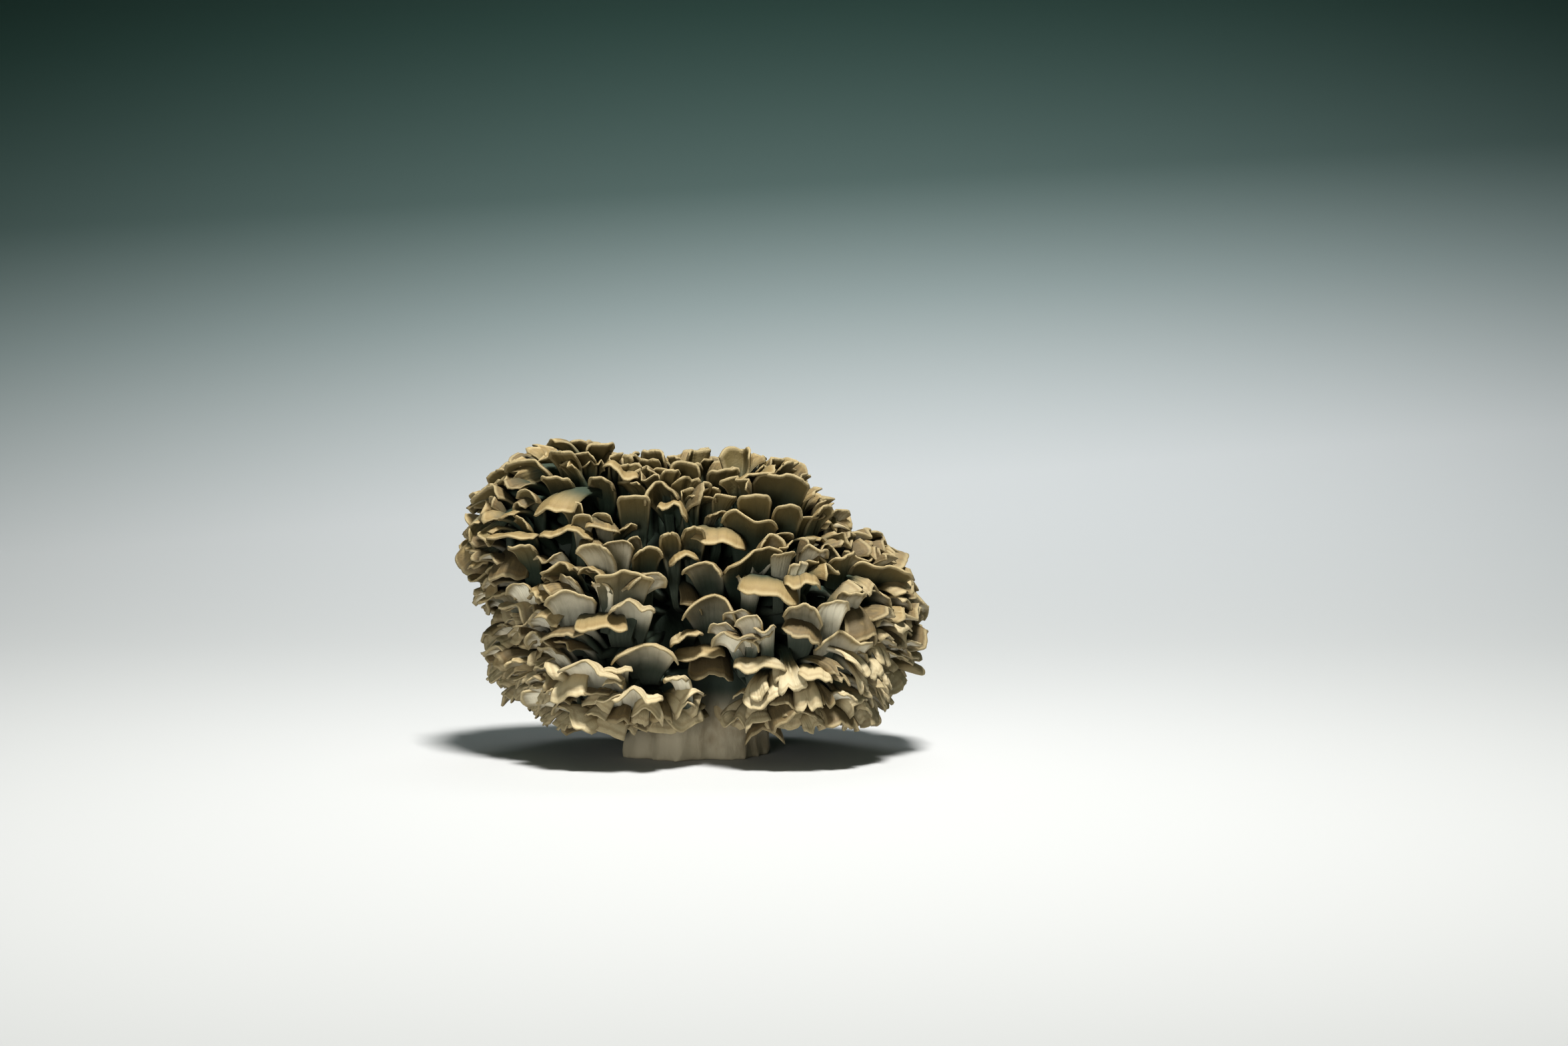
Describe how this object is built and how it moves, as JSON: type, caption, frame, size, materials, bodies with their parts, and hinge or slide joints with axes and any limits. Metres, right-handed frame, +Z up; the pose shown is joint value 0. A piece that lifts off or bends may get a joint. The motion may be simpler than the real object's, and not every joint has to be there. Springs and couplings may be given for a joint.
{
  "type": "maitake mushroom",
  "caption": "Fresh maitake mushroom: a dense rosette of wavy fan-shaped caps in layers round several swellings, on one thick stem cut flat to stand on.",
  "frame": {"origin": "centre of the flat cut at the bottom of the stem", "axes": "+Z up along the stem, +X along the broad side to the viewer's right, -Y towards the viewer"},
  "size_m": [0.1492, 0.1119, 0.1004],
  "materials": {
    "maitake": "fresh fungus flesh: matt mottled brown cap tops with a pale rim, tan to cream undersides, cream stem"
  },
  "bodies": {
    "root": {"maitake": "maitake"}
  },
  "joints": []
}
